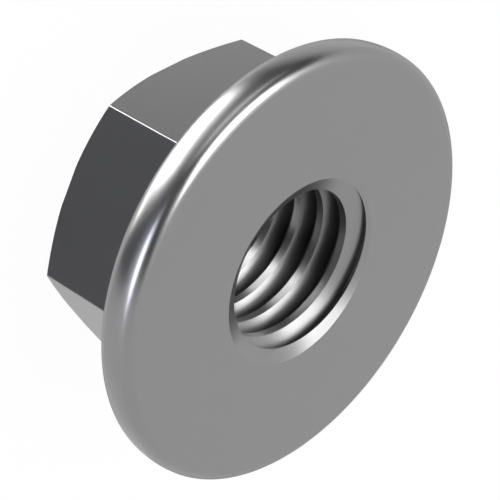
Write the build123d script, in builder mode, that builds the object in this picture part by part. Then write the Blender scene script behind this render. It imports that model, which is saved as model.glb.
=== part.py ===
from build123d import *
import os
from math import radians, sqrt, tan

# Hexagon flange nut with an M5 coarse thread, forged and tapped as one piece. Millimetres.
# Origin: centre of the flat end of the hexagon, on which the nut stands.
# +Z: along the thread to the bearing face, so the flange is on top.
# +X: square to one of the six flats.

# Thread, given by its nominal size. The bore is its plain minor diameter.
thread_diameter = 5.0
thread_pitch = 0.8
minor_allowance = 0.076  # how far the tapping size lies over the basic minor diameter
countersink_margin = 0.08  # how much wider than the thread the countersinks open
countersink_angle = 120.0

# Hexagon
nut_height = 4.7
across_flats = 7.87
corner_radius = 0.05  # on the six upright edges
chamfer_margin = 0.07  # how much wider than the flats the end chamfer's circle is
chamfer_angle = 30.0  # against the end face

# Flange
flange_diameter = 11.8
rim_height = 1.034  # from the bearing face down to the corner of rim and cone
rim_crown_radius = 1.4  # the rim bulges a little between its two rounded edges
rim_crown_depth = 0.51  # of its widest line below the bearing face
flange_slope = 20.0  # of the conical back, which widens away from the hexagon
bearing_edge_radius = 0.325
back_edge_radius = 0.475
root_radius = 0.25  # where the hexagon runs into the cone

# Derived sizes
sharp_thread_height = thread_pitch * sqrt(3) / 2
minor_diameter = thread_diameter - 2 * (5 / 8) * sharp_thread_height + minor_allowance
countersink_diameter = thread_diameter + countersink_margin
chamfer_circle_radius = (across_flats + chamfer_margin) / 2
chamfer_run = across_flats / 2  # carries the chamfer's cone out past the corners
chamfer_rise = chamfer_run * tan(radians(chamfer_angle))
flange_radius = flange_diameter / 2
crown_centre_x = flange_radius - rim_crown_radius
bearing_corner_x = crown_centre_x + sqrt(rim_crown_radius**2 - rim_crown_depth**2)
back_corner_x = crown_centre_x + sqrt(rim_crown_radius**2 - (rim_height - rim_crown_depth) ** 2)
rim_corner_z = nut_height - rim_height
cone_tip_z = rim_corner_z - back_corner_x * tan(radians(flange_slope))

with BuildPart() as flange_nut:
    # Hexagonal prism, up into the flange
    with BuildSketch(Plane.XY):
        RegularPolygon(across_flats / 2, side_count=6, major_radius=False, rotation=30)
    extrude(amount=rim_corner_z)
    fillet(flange_nut.edges().filter_by(Axis.Z), corner_radius)

    # End chamfer: a cone turned off the corners, which leaves a curve on each flat
    with BuildSketch(Plane.XZ):
        with BuildLine():
            Polyline(
                (chamfer_circle_radius, 0),
                (chamfer_circle_radius + chamfer_run, 0),
                (chamfer_circle_radius + chamfer_run, chamfer_rise),
                close=True,
            )
        make_face()
    revolve(axis=Axis.Z, mode=Mode.SUBTRACT)

    # Flange: flat bearing face, crowned rim and conical back
    with BuildSketch(Plane.XZ) as section:
        with BuildLine():
            Polyline(
                (back_corner_x, rim_corner_z),
                (0, cone_tip_z),
                (0, nut_height),
                (bearing_corner_x, nut_height),
            )
            ThreePointArc(
                (bearing_corner_x, nut_height),
                (flange_radius, nut_height - rim_crown_depth),
                (back_corner_x, rim_corner_z),
            )
        make_face()
        back_corner, bearing_corner = section.vertices().sort_by(Axis.X)[-2:].sort_by(Axis.Y)
        fillet(back_corner, back_edge_radius)
        fillet(bearing_corner, bearing_edge_radius)
    revolve(axis=Axis.Z)
    fillet(flange_nut.edges(Select.NEW), root_radius)

    # Bore, opened by a countersink at each end
    with Locations(Plane.XY.offset(nut_height), -Plane.XY):
        CounterSinkHole(
            minor_diameter / 2,
            countersink_diameter / 2,
            depth=nut_height,
            counter_sink_angle=countersink_angle,
        )

flange_nut.part.label = "flange_nut"

os.makedirs("parts", exist_ok=True)
export_step(flange_nut.part, "parts/flange_nut.step")
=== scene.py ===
import math

import bmesh
import bpy
import numpy as np
from mathutils import Matrix, Vector


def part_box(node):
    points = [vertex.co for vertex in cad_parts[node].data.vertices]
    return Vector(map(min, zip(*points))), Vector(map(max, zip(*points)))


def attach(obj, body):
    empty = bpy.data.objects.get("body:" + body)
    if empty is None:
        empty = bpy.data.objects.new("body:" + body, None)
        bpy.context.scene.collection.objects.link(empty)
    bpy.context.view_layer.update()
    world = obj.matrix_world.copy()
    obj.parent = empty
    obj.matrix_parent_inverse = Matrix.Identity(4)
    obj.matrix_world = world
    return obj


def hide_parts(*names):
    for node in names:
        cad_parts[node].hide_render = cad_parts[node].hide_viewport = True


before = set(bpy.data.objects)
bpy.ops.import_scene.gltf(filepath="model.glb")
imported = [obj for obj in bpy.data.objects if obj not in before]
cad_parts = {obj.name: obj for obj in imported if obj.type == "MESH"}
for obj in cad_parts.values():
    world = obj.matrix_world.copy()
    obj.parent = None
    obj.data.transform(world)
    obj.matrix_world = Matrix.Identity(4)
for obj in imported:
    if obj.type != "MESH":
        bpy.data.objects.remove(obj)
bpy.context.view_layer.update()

# A flange nut standing on the flat end of its hexagon, flange and bearing face up.
# The frame's axes: +Z along the thread to the bearing face, +X square to a flat.

mm = 0.001
nodeName = "flange_nut"
nutLow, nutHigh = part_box(nodeName)
nutHeight = nutHigh.z / mm
flangeRadius = min(nutHigh.x, nutHigh.y, -nutLow.x, -nutLow.y) / mm
print("frame loaded, nut", round(nutHeight, 3), "high, flange radius", round(flangeRadius, 4))

# The nut

nutForm = {  # millimetres and degrees
    "acrossFlats": 7.87,
    "cornerRadius": 0.05,
    "chamferCircle": 3.97,  # radius at which the end chamfer starts
    "chamferAngle": 30.0,  # against the end face
    "rimHeight": 1.034,  # bearing face down to the corner of rim and cone
    "crownRadius": 1.4,  # the rim bulges a little
    "crownDepth": 0.51,  # bearing face down to its widest line
    "flangeSlope": 20.0,
    "bearingEdgeRadius": 0.325,
    "backEdgeRadius": 0.475,
    "rootRadius": 0.25,  # where the hexagon runs into the cone
    "countersinkRadius": 2.54,
    "countersinkSlope": 30.0,  # of its wall against the bearing face
}

threadForm = {  # right-hand M5 coarse, millimetres and degrees
    "pitch": 0.8,
    "minorRadius": 2.105,
    "majorRadius": 2.52,  # out to the groove's narrow flat bottom
    "crestFlat": 0.219,
    "edgeHeight": 4.113,  # height of one crest's upper edge ...
    "edgeTurn": 220.0,  # ... at this angle round the axis from +X
    "turns": (-6, 2),  # first turn and the one after the last, past both ends
}

gridSteps = {
    "flat": 52,  # columns across each flat
    "lastColumn": 0.994,  # of the way to the corner, which keeps the flat's shading even
    "corner": 8,  # columns round each upright corner
    "bearingEdge": 18,  # rows over each rounding
    "crown": 6,
    "backEdge": 14,
    "root": 8,
    "faceRings": (3.4, 4.4),  # radii of two rings on the bearing face
    "faceMargin": 0.01,  # from its last ring to the rounded edge
    "edgeRow": 0.01,  # share of the way in at which a cone or wall has its first row
    "sinkRows": (0.34, 0.67),  # shares of the way along a countersink's cone
    "sharpAngle": 22.0,  # creases over this angle stay crisp
    "weld": 0.0001,  # millimetres within which points are merged
}


# Outline of the hexagon. Each side is its flat, then the arc to the next flat. The flat is
# x = a with y from -w to w, the arc is centre + radius * normal, and each side is turned by 60
# degrees from the last. Gives points and outward normals, first column repeated at the end.
def hexOutline(form, steps):
    flatDistance = form["acrossFlats"] / 2
    radius = form["cornerRadius"]
    inner = flatDistance - radius
    halfFlat = inner * math.tan(math.radians(30))
    last = steps["lastColumn"]
    across = np.r_[-1.0, np.linspace(-last, last, steps["flat"])] * halfFlat
    flat = np.column_stack([np.full_like(across, flatDistance), across])
    flatNormal = np.tile([1.0, 0.0], (len(across), 1))
    turn = np.radians(60) * np.arange(steps["corner"]) / steps["corner"]
    arcNormal = np.column_stack([np.cos(turn), np.sin(turn)])
    arc = np.array([inner, halfFlat]) + radius * arcNormal
    points = np.vstack([flat, arc])
    normals = np.vstack([flatNormal, arcNormal])
    side = np.radians(60) * np.arange(6)
    spin = np.array([[np.cos(side), -np.sin(side)], [np.sin(side), np.cos(side)]])
    points = np.einsum("abs,nb->sna", spin, points).reshape(-1, 2)
    normals = np.einsum("abs,nb->sna", spin, normals).reshape(-1, 2)
    return np.vstack([points, points[:1]]), np.vstack([normals, normals[:1]])


# Angle round the axis at each point: arctan(y / x), rising all the way to 360 degrees more.
def turnOf(points):
    return np.unwrap(np.arctan2(points[:, 1], points[:, 0]))


# A ring grid from radius, angle and height: (r cos t, r sin t, z).
def polarRows(radius, turn, height):
    radius, turn, height = np.broadcast_arrays(radius, turn, height)
    return np.stack([radius * np.cos(turn), radius * np.sin(turn), height], axis=-1)


# Rows between two rings: first * (1 - share) + second * share, for each of the shares.
def between(first, second, shares):
    shares = np.asarray(shares)[:, None, None]
    return first * (1 - shares) + second * shares


# Radius of the sharp corner between rim and cone, on the rim's arc at the rim's height.
def backCorner(form):
    below = form["rimHeight"] - form["crownDepth"]
    return flangeRadius - form["crownRadius"] + math.sqrt(form["crownRadius"] ** 2 - below ** 2)


# Flange from the countersink's mouth over the rim to the end of its rounded back edge, carried
# round the axis. Its profile is the flat face and three arcs that touch: the bearing edge, the
# crowned rim and the back edge. An edge's centre is as far from the crown's as their radii
# differ, and its own radius away from the face or the cone. Each arc is centre + radius * (cos
# a, sin a), with the angle a falling from 90 degrees at the face to the cone's own.
def flangeRows(form, steps, turn):
    edge, back, crown = form["bearingEdgeRadius"], form["backEdgeRadius"], form["crownRadius"]
    slope = math.radians(form["flangeSlope"])
    middle = np.array([flangeRadius - crown, nutHeight - form["crownDepth"]])
    rise = form["crownDepth"] - edge
    edgeCentre = middle + [math.sqrt((crown - edge) ** 2 - rise ** 2), rise]
    corner = np.array([backCorner(form), nutHeight - form["rimHeight"]])
    along = np.array([math.cos(slope), math.sin(slope)])
    inward = np.array([-math.sin(slope), math.cos(slope)])
    offset = (middle - corner) @ inward - back
    backCentre = middle - offset * inward + math.sqrt((crown - back) ** 2 - offset ** 2) * along
    edgeTurn = math.asin(rise / (crown - edge))
    backTurn = math.asin((backCentre[1] - middle[1]) / (crown - back))
    faceEnd = edgeCentre[0] - steps["faceMargin"]
    face = np.array([form["countersinkRadius"], *steps["faceRings"], faceEnd])
    arcs = [np.column_stack([face, np.full_like(face, nutHeight)])]
    for centre, radius, start, end, count in (
        (edgeCentre, edge, math.pi / 2, edgeTurn, steps["bearingEdge"]),
        (middle, crown, edgeTurn, backTurn, steps["crown"]),
        (backCentre, back, backTurn, slope - math.pi / 2, steps["backEdge"]),
    ):
        angle = np.linspace(start, end, count + 1)[len(arcs) > 1:]
        arcs.append(centre + radius * np.column_stack([np.cos(angle), np.sin(angle)]))
    radius, height = np.vstack(arcs).T
    return polarRows(radius[:, None], turn[None, :], height[:, None])


# Rounding between hexagon and cone: a ball of the root radius rolls along both. Its centre is the
# outline moved out by the radius, at the height where it touches the cone. The surface is the
# centre plus radius times a direction that swings from the cone's side to the wall's.
def rootRows(form, steps, outline, normals):
    radius = form["rootRadius"]
    slope = math.radians(form["flangeSlope"])
    centre = outline + radius * normals
    reach = np.hypot(centre[:, 0], centre[:, 1])
    coneTip = nutHeight - form["rimHeight"] - backCorner(form) * math.tan(slope)
    centreHeight = coneTip + reach * math.tan(slope) - radius / math.cos(slope)
    centre = np.column_stack([centre, centreHeight])
    outward = centre[:, :2] / reach[:, None]
    toCone = np.column_stack([-math.sin(slope) * outward, np.full(len(centre), math.cos(slope))])
    toWall = np.column_stack([-normals, np.zeros(len(centre))])
    swing = np.arccos(np.sum(toCone * toWall, axis=1))
    share = np.linspace(0, 1, steps["root"] + 1)[:, None]
    coneWeight = (np.sin((1 - share) * swing) / np.sin(swing))[..., None]
    wallWeight = (np.sin(share * swing) / np.sin(swing))[..., None]
    return centre + radius * (coneWeight * toCone + wallWeight * toWall)


# One turn of the thread's profile as height above the crest's upper edge and radius: a flank of
# 30 degrees out to the groove's flat bottom, the same flank back in, and then the next crest.
def threadProfile(form):
    minor, major = form["minorRadius"], form["majorRadius"]
    flank = np.array([0.0, 0.06, 0.5, 0.94, 1.0])  # shares of the flank's length
    rise = (major - minor) / math.sqrt(3) * flank
    height = np.r_[rise, form["pitch"] - form["crestFlat"] - rise[::-1]]
    radius = minor + (major - minor) * np.r_[flank, flank[::-1]]
    return height, radius


# Bore from the lower countersink up to the bearing face. The thread's rows climb by one pitch for
# each turn round the axis. Where a countersink's cone lies further out than the thread, the rows
# stop on the line where the two meet, and the cone goes on from there to its mouth.
def boreRows(form, thread, steps, turn):
    height, radius = threadProfile(thread)
    turns = np.arange(*thread["turns"])[:, None]
    startTurn = turn - math.radians(thread["edgeTurn"])
    climb = thread["edgeHeight"] + thread["pitch"] * startTurn / (2 * math.pi)
    rows = (turns * thread["pitch"] + height).reshape(-1, 1) + climb
    reach = np.broadcast_to(np.tile(radius, len(turns))[:, None], rows.shape)
    steep = 1 / math.tan(math.radians(form["countersinkSlope"]))
    mouth = form["countersinkRadius"]
    columns = np.arange(len(turn))
    ends = []
    for depth in (rows, nutHeight - rows):  # below the lower face's cone, then the upper's
        clear = reach - (mouth - depth * steep)
        upper = depth is not rows
        if upper:
            last = len(rows) - 1 - np.argmax(clear[::-1] > 0, axis=0)
            beyond = last + 1
        else:
            last = np.argmax(clear > 0, axis=0)
            beyond = last - 1
        inside, outside = clear[last, columns], clear[beyond, columns]
        share = inside / (inside - outside)
        meetHeight = rows[last, columns] * (1 - share) + rows[beyond, columns] * share
        meetRadius = reach[last, columns] * (1 - share) + reach[beyond, columns] * share
        ends.append((last, meetHeight, meetRadius))
    (lowest, lowHeight, lowRadius), (highest, highHeight, highRadius) = ends
    index = np.arange(len(rows))[:, None]
    rows = np.where(index < lowest, lowHeight, np.where(index > highest, highHeight, rows))
    reach = np.where(index < lowest, lowRadius, np.where(index > highest, highRadius, reach))
    lowMeet = polarRows(lowRadius, turn, lowHeight)
    highMeet = polarRows(highRadius, turn, highHeight)
    lowMouth = polarRows(mouth, turn, 0.0)
    highMouth = polarRows(mouth, turn, nutHeight)
    return np.concatenate([
        between(lowMouth, lowMeet, [0, *steps["sinkRows"]]),
        lowMeet[None],
        polarRows(reach, turn[None, :], rows),
        highMeet[None],
        between(highMeet, highMouth, [*steps["sinkRows"], 1]),
    ])


# The whole nut as one closed skin: flange, cone, rounding, hexagon, end chamfer, end face, bore.
def nutRows(form, thread, steps):
    outline, normals = hexOutline(form, steps)
    root = rootRows(form, steps, outline, normals)
    turn = turnOf(root[0])
    flange = flangeRows(form, steps, turn)
    edge = steps["edgeRow"]
    cone = between(flange[-1], root[0], [edge, 0.5, 1 - edge])
    corner = np.hypot(outline[:, 0], outline[:, 1])
    wallTurn = turnOf(outline)
    chamferSlope = math.tan(math.radians(form["chamferAngle"]))
    rise = np.maximum(corner - form["chamferCircle"], 0) * chamferSlope
    wallFoot = polarRows(corner, wallTurn, rise)
    endEdge = polarRows(np.minimum(corner, form["chamferCircle"]), wallTurn, 0.0)
    bore = boreRows(form, thread, steps, turn)
    return np.concatenate([
        flange,
        cone,
        root,
        between(root[-1], wallFoot, [edge, 0.5, 1]),
        between(endEdge, bore[0], [0, 0.5]),
        bore,
    ])


# A mesh with one face between each four neighbours of a grid of points. Its first and last rows
# meet, and so do its first and last columns, so that merging doubles closes the skin.
def skinMesh(name, rows, steps):
    rowCount, columnCount = rows.shape[:2]
    index = np.arange(rowCount * columnCount).reshape(rowCount, columnCount)
    quads = np.stack([index[:-1, :-1], index[1:, :-1], index[1:, 1:], index[:-1, 1:]], axis=-1)
    quads = quads.reshape(-1, 4)
    mesh = bpy.data.meshes.new(name)
    mesh.vertices.add(rows.size // 3)
    mesh.vertices.foreach_set("co", (rows * mm).astype(np.float32).ravel())
    mesh.loops.add(quads.size)
    mesh.loops.foreach_set("vertex_index", quads.ravel())
    mesh.polygons.add(len(quads))
    mesh.polygons.foreach_set("loop_start", np.arange(0, quads.size, 4))
    mesh.update(calc_edges=True)
    skin = bmesh.new()
    skin.from_mesh(mesh)
    bmesh.ops.remove_doubles(skin, verts=skin.verts, dist=mm * steps["weld"])
    openEdges = sum(len(edge.link_faces) != 2 for edge in skin.edges)
    print(name, len(skin.faces), "faces,", openEdges, "open edges, volume",
          round(skin.calc_volume(signed=True) / mm ** 3, 2), "mm3")
    skin.to_mesh(mesh)
    skin.free()
    mesh.polygons.foreach_set("use_smooth", np.ones(len(mesh.polygons), bool))
    mesh.set_sharp_from_angle(angle=math.radians(steps["sharpAngle"]))
    mesh.update()
    return mesh


# Node helpers

def addNode(tree, kind, place, **settings):
    node = tree.nodes.new(kind)
    node.location = place
    for key, value in settings.items():
        setattr(node, key, value)
    return node


def addMath(tree, operation, first, second=None, place=(0, 0)):
    node = addNode(tree, "ShaderNodeMath", place, operation=operation)
    for socket, value in zip(node.inputs, (first, second)):
        if isinstance(value, bpy.types.NodeSocket):
            tree.links.new(value, socket)
        elif value is not None:
            socket.default_value = value
    return node.outputs[0]


# A smooth or straight step: low where the value is at start, high where it is at end.
def addStep(tree, value, start, end, place, kind="LINEAR", low=0.0, high=1.0):
    node = addNode(tree, "ShaderNodeMapRange", place, interpolation_type=kind)
    tree.links.new(value, node.inputs["Value"])
    limits = {"From Min": start, "From Max": end, "To Min": low, "To Max": high}
    for socket, number in limits.items():
        node.inputs[socket].default_value = number
    return node.outputs[0]


# Two colours mixed by a share. Such a node has its colours on the sockets 6, 7 and, mixed, 2.
def addMix(tree, share, first, second, place):
    node = addNode(tree, "ShaderNodeMix", place, data_type="RGBA")
    tree.links.new(share, node.inputs[0])
    for number, colour in ((6, first), (7, second)):
        if isinstance(colour, bpy.types.NodeSocket):
            tree.links.new(colour, node.inputs[number])
        else:
            node.inputs[number].default_value = (*colour, 1)
    return node.outputs[2]


# Two shaders mixed by a share.
def addBlend(tree, share, first, second, place):
    node = addNode(tree, "ShaderNodeMixShader", place)
    for socket, value in zip(node.inputs, (share, first, second)):
        tree.links.new(value, socket)
    return node.outputs[0]


# Finish of the nut

steelFinish = {
    "colour": (0.26, 0.26, 0.26),
    "patchiness": 0.015,  # how far the colour drifts either way
    "patchSize": 2.5,  # millimetres, as are the sizes below
    "patchDetail": 4,
    "paintedGrooveShade": 0.70,  # painted shade: the colour's share at the bottom of the thread's groove, where the flanks shade it
    "grooveStart": 0.02,  # out from the crests
    "groovePast": (0.15, 0.10),  # out from its bottom: none past the first, all within the second
    "mouthFade": (0.30, 0.60),  # below a countersink's cone: nothing above, all below
    "roughness": 0.285,
    "roughnessDrift": 0.02,
    "grainSize": 0.05,
    "grainDetail": 3,
    "grainDepth": 0.0004,  # hardly more than a glint, as on a bright forged face
}


# How deep a point lies in the thread's groove, the mask of the painted shade there: 0 on the
# crests and countersinks, 1 at the bottom. It is the product of three shares: how far out from the
# crests, how far within the nut's outside, and how far below a countersink's cone, on which height
# - radius * slope is constant.
def grooveDepth(tree, place, finish):
    apart = addNode(tree, "ShaderNodeSeparateXYZ", (-1900, 700))
    tree.links.new(place, apart.inputs[0])
    x, y, z = apart.outputs
    squares = [addMath(tree, "MULTIPLY", part, part, (-1700, 700)) for part in (x, y)]
    square = addMath(tree, "ADD", *squares, (-1500, 700))
    radius = addMath(tree, "SQRT", square, None, (-1300, 700))
    middle = nutHeight * mm / 2
    slope = math.tan(math.radians(nutForm["countersinkSlope"]))
    offset = addMath(tree, "SUBTRACT", z, middle, (-1700, 500))
    height = addMath(tree, "ABSOLUTE", offset, None, (-1500, 500))
    cone = addMath(tree, "MULTIPLY", radius, slope, (-1100, 500))
    lift = addMath(tree, "SUBTRACT", height, cone, (-900, 500))
    coneLift = middle - nutForm["countersinkRadius"] * mm * slope
    minor, major = threadForm["minorRadius"] * mm, threadForm["majorRadius"] * mm
    none, full = (major + past * mm for past in finish["groovePast"])
    fadeStart, fadeEnd = (coneLift - fade * mm for fade in finish["mouthFade"])
    depth = None
    for value, start, end, kind in (
        (radius, minor + finish["grooveStart"] * mm, major, "SMOOTHERSTEP"),
        (radius, none, full, "LINEAR"),
        (lift, fadeStart, fadeEnd, "SMOOTHSTEP"),
    ):
        share = addStep(tree, value, start, end, (-700, 600), kind)
        depth = share if depth is None else addMath(tree, "MULTIPLY", depth, share, (-400, 600))
    return depth


def steelMaterial(finish):
    material = bpy.data.materials.new("plainSteel")
    material.use_nodes = True
    tree = material.node_tree
    shader = tree.nodes["Principled BSDF"]
    shader.inputs["Metallic"].default_value = 1.0
    place = addNode(tree, "ShaderNodeTexCoord", (-2100, 0)).outputs["Object"]

    def addNoise(size, detail, row):
        node = addNode(tree, "ShaderNodeTexNoise", (-1100, row))
        node.inputs["Scale"].default_value = 1 / (size * mm)
        node.inputs["Detail"].default_value = detail
        tree.links.new(place, node.inputs["Vector"])
        return node.outputs[0]

    def shaded(share):
        return [part * share for part in finish["colour"]]

    # Colour: a faint drift all over, and painted shade down in the thread's groove
    drift, shade = finish["patchiness"], finish["paintedGrooveShade"]
    patches = addNoise(finish["patchSize"], finish["patchDetail"], 300)
    drifting = addMix(tree, patches, shaded(1 - drift), shaded(1 + drift), (-600, 300))
    depth = grooveDepth(tree, place, finish)
    # painted shade: the colour darkens towards the groove's bottom, by the depth mask
    paintedShadeColour = addMix(tree, depth, drifting, shaded(shade), (-200, 300))
    tree.links.new(paintedShadeColour, shader.inputs["Base Color"])

    # Gloss and relief: one fine grain
    grain = addNoise(finish["grainSize"], finish["grainDetail"], -50)
    low = finish["roughness"] - finish["roughnessDrift"]
    high = finish["roughness"] + finish["roughnessDrift"]
    gloss = addStep(tree, grain, 0, 1, (-600, -50), "LINEAR", low, high)
    tree.links.new(gloss, shader.inputs["Roughness"])
    relief = addNode(tree, "ShaderNodeBump", (-600, -350))
    relief.inputs["Distance"].default_value = finish["grainDepth"] * mm
    tree.links.new(grain, relief.inputs["Height"])
    tree.links.new(relief.outputs[0], shader.inputs["Normal"])
    return material


# Studio: white all round. Polished metal also mirrors bright windows and the dark cloths between
# them.

studioLight = {
    "level": 0.97,
    # Each patch lies at an azimuth and elevation in degrees, turned by roll, with its half width
    # and half height in degrees. Squareness 2 is an ellipse. Softness is a share of its size.
    "patches": {
        "darkCloth": dict(
            azimuth=15.6, elevation=-10.5, roll=-55.4, halfWidth=76.2, halfHeight=59.6,
            squareness=2.44, softness=0.04, level=0.01),
        "darkTop": dict(
            azimuth=65.5, elevation=51.3, roll=-0.6, halfWidth=18.4, halfHeight=25.1,
            squareness=14.0, softness=0.04, level=0.01),
        "paleCloth": dict(
            azimuth=0.9, elevation=-5.5, roll=40.3, halfWidth=23.8, halfHeight=19.3,
            squareness=2.26, softness=0.76, level=1.8),
        "highWindow": dict(
            azimuth=-14.4, elevation=58.7, roll=-30.4, halfWidth=22.7, halfHeight=23.0,
            squareness=1.1, softness=0.49, level=16.34),
        "sideWindow": dict(
            azimuth=77.3, elevation=-0.4, roll=-4.0, halfWidth=16.9, halfHeight=15.8,
            squareness=3.37, softness=0.05, level=5.85, tint=(0.95, 0.96, 1.14)),
        "lowWindow": dict(
            azimuth=14.5, elevation=-59.8, roll=-35.4, halfWidth=27.8, halfHeight=28.6,
            squareness=1.16, softness=0.08, level=8.96),
        "darkFlag": dict(
            azimuth=48.4, elevation=-52.8, roll=0.0, halfWidth=2.8, halfHeight=19.9,
            squareness=2.0, softness=0.69, level=0.35),
        "farShade": dict(
            azimuth=225.3, elevation=-31.7, roll=9.5, halfWidth=32.2, halfHeight=37.6,
            squareness=2.14, softness=0.04, level=0.47),
        "darkStrip": dict(
            azimuth=-18.9, elevation=-24.4, roll=-0.5, halfWidth=37.0, halfHeight=5.7,
            squareness=2.4, softness=0.04, level=0.01),
        "topGlow": dict(
            azimuth=295.5, elevation=70.8, roll=18.6, halfWidth=17.1, halfHeight=10.1,
            squareness=1.56, softness=0.11, level=2.08),
        "lowGlow": dict(
            azimuth=182.2, elevation=-33.8, roll=-14.2, halfWidth=21.2, halfHeight=4.6,
            squareness=3.24, softness=0.05, level=0.85),
    },
}


# Unit vectors of a patch: to its middle, to its side and to its top.
def patchAxes(azimuth, elevation, roll):
    a, e, r = (math.radians(x) for x in (azimuth, elevation, roll))
    middle = Vector((math.cos(e) * math.cos(a), math.cos(e) * math.sin(a), math.sin(e)))
    level = Vector((-math.sin(a), math.cos(a), 0))
    top = middle.cross(level)
    return (
        middle,
        math.cos(r) * level + math.sin(r) * top,
        math.cos(r) * top - math.sin(r) * level,
    )


# Share of a patch in a direction: 1 inside, 0 outside, smooth over its soft edge. The direction's
# distance is (|across / half width| ^ n + |up / half height| ^ n) ^ (1 / n), n its squareness.
def patchShare(tree, direction, patch, row):
    def along(axis):
        node = addNode(tree, "ShaderNodeVectorMath", (-1600, row), operation="DOT_PRODUCT")
        tree.links.new(direction, node.inputs[0])
        node.inputs[1].default_value = axis
        return node.outputs["Value"]

    middle, side, top = patchAxes(patch["azimuth"], patch["elevation"], patch["roll"])
    power = patch["squareness"]
    sideways = addMath(tree, "ARCTAN2", along(side), along(middle), (-1400, row))
    upward = addMath(tree, "ARCSINE", along(top), None, (-1400, row))
    terms = []
    for angle, half in ((sideways, patch["halfWidth"]), (upward, patch["halfHeight"])):
        size = addMath(tree, "DIVIDE", angle, math.radians(half), (-1200, row))
        distance = addMath(tree, "ABSOLUTE", size, None, (-1100, row))
        terms.append(addMath(tree, "POWER", distance, power, (-1000, row)))
    both = addMath(tree, "ADD", *terms, (-800, row))
    far = addMath(tree, "POWER", both, 1 / power, (-600, row))
    start, end = 1 - patch["softness"], 1 + patch["softness"]
    return addStep(tree, far, start, end, (-400, row), "SMOOTHSTEP", 1.0, 0.0)


# The world is plain white for the camera and as light. What the metal mirrors is the studio: its
# level all round, with one patch after another laid over it.
def studioWorld(light):
    world = bpy.data.worlds.new("studio")
    bpy.context.scene.world = world
    world.use_nodes = True
    world.cycles.sampling_method = "NONE"  # its light depends on the kind of ray
    tree = world.node_tree
    tree.nodes.clear()
    direction = addNode(tree, "ShaderNodeTexCoord", (-1900, 0)).outputs["Generated"]
    mirrored = (light["level"],) * 3
    for number, patch in enumerate(light["patches"].values()):
        row = -260 * number
        share = patchShare(tree, direction, patch, row)
        colour = [patch["level"] * part for part in patch.get("tint", (1, 1, 1))]
        mirrored = addMix(tree, share, mirrored, colour, (0, row))
    studio = addNode(tree, "ShaderNodeBackground", (250, 0))
    tree.links.new(mirrored, studio.inputs["Color"])
    white = addNode(tree, "ShaderNodeBackground", (250, -150))
    white.inputs["Color"].default_value = (1, 1, 1, 1)
    rays = addNode(tree, "ShaderNodeLightPath", (-100, 400))
    glossy, through = rays.outputs["Is Glossy Ray"], rays.outputs["Is Transmission Ray"]
    metal = addMath(tree, "MAXIMUM", glossy, through, (250, 300))
    chosen = addBlend(tree, metal, white.outputs[0], studio.outputs[0], (500, 0))
    output = addNode(tree, "ShaderNodeOutputWorld", (750, 0))
    tree.links.new(chosen, output.inputs["Surface"])


floorForm = {
    "radius": 400.0,  # millimetres
    "drop": 0.004,  # below the nut's end, so that the two faces don't share a plane
    "colour": (0.9, 0.9, 0.9),
    "shadow": 0.06,  # share of its shading that the camera sees, over white
    "white": 1.01,  # a touch over 1, which makes up for that shading
    "corners": 96,
}


# A flat disc, (r cos t, r sin t), just below the nut. From above the camera sees it nearly white,
# with some of its shading, and from below it is clear, so that the nut's end face shows.
def makeFloor(form):
    turn = np.linspace(0, 2 * np.pi, form["corners"], endpoint=False)
    ring = np.column_stack([np.cos(turn), np.sin(turn), np.zeros_like(turn)]) * form["radius"]
    ring[:, 2] = -form["drop"]
    mesh = bpy.data.meshes.new("studio_floor")
    mesh.from_pydata((ring * mm).tolist(), [], [list(range(len(ring)))])
    floor = bpy.data.objects.new("studio_floor", mesh)
    bpy.context.scene.collection.objects.link(floor)
    floor.visible_glossy = False
    material = bpy.data.materials.new("paleFloor")
    material.use_nodes = True
    tree = material.node_tree
    tree.nodes.clear()
    matt = addNode(tree, "ShaderNodeBsdfDiffuse", (0, 0))
    matt.inputs["Color"].default_value = (*form["colour"], 1)
    white = addNode(tree, "ShaderNodeEmission", (0, -150))
    white.inputs["Strength"].default_value = form["white"]
    rays = addNode(tree, "ShaderNodeLightPath", (-400, 300))
    camera = rays.outputs["Is Camera Ray"]
    share = addMath(tree, "MULTIPLY", camera, 1 - form["shadow"], (-100, 300))
    pale = addBlend(tree, share, matt.outputs[0], white.outputs[0], (250, 0))
    clear = addNode(tree, "ShaderNodeBsdfTransparent", (250, -150))
    below = addNode(tree, "ShaderNodeNewGeometry", (250, 300)).outputs["Backfacing"]
    seen = addBlend(tree, below, pale, clear.outputs[0], (500, 0))
    output = addNode(tree, "ShaderNodeOutputMaterial", (750, 0))
    tree.links.new(seen, output.inputs["Surface"])
    mesh.materials.append(material)


cameraView = {
    "lens": 158.61,
    "sensor": 36.0,
    "clip": (0.001, 1.0),  # metres
    "place": (31.929, 32.150, 35.034),  # millimetres
    "back": (1, 1, 1),  # from the nut to the camera
    "up": (2, -1, -1),  # the picture's top: the nut lies on its side in it
}


def makeCamera(view):
    data = bpy.data.cameras.new("camera")
    data.lens = view["lens"]
    data.sensor_width = view["sensor"]
    data.clip_start, data.clip_end = view["clip"]
    camera = bpy.data.objects.new("camera", data)
    bpy.context.scene.collection.objects.link(camera)
    back, up = Vector(view["back"]).normalized(), Vector(view["up"]).normalized()
    right = up.cross(back)
    turned = Matrix((right, up, back)).transposed().to_4x4()
    camera.matrix_world = Matrix.Translation(Vector(view["place"]) * mm) @ turned
    bpy.context.scene.camera = camera


rows = nutRows(nutForm, threadForm, gridSteps)
skin = skinMesh("flange_nut_body", rows, gridSteps)
nut = bpy.data.objects.new("flange_nut_body", skin)
bpy.context.scene.collection.objects.link(nut)
nut.data.materials.append(steelMaterial(steelFinish))
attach(nut, "root")
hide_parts(nodeName)
print("nut made")

studioWorld(studioLight)
makeFloor(floorForm)
makeCamera(cameraView)
bpy.context.scene.view_settings.view_transform = "Standard"
print("studio, floor and camera set")
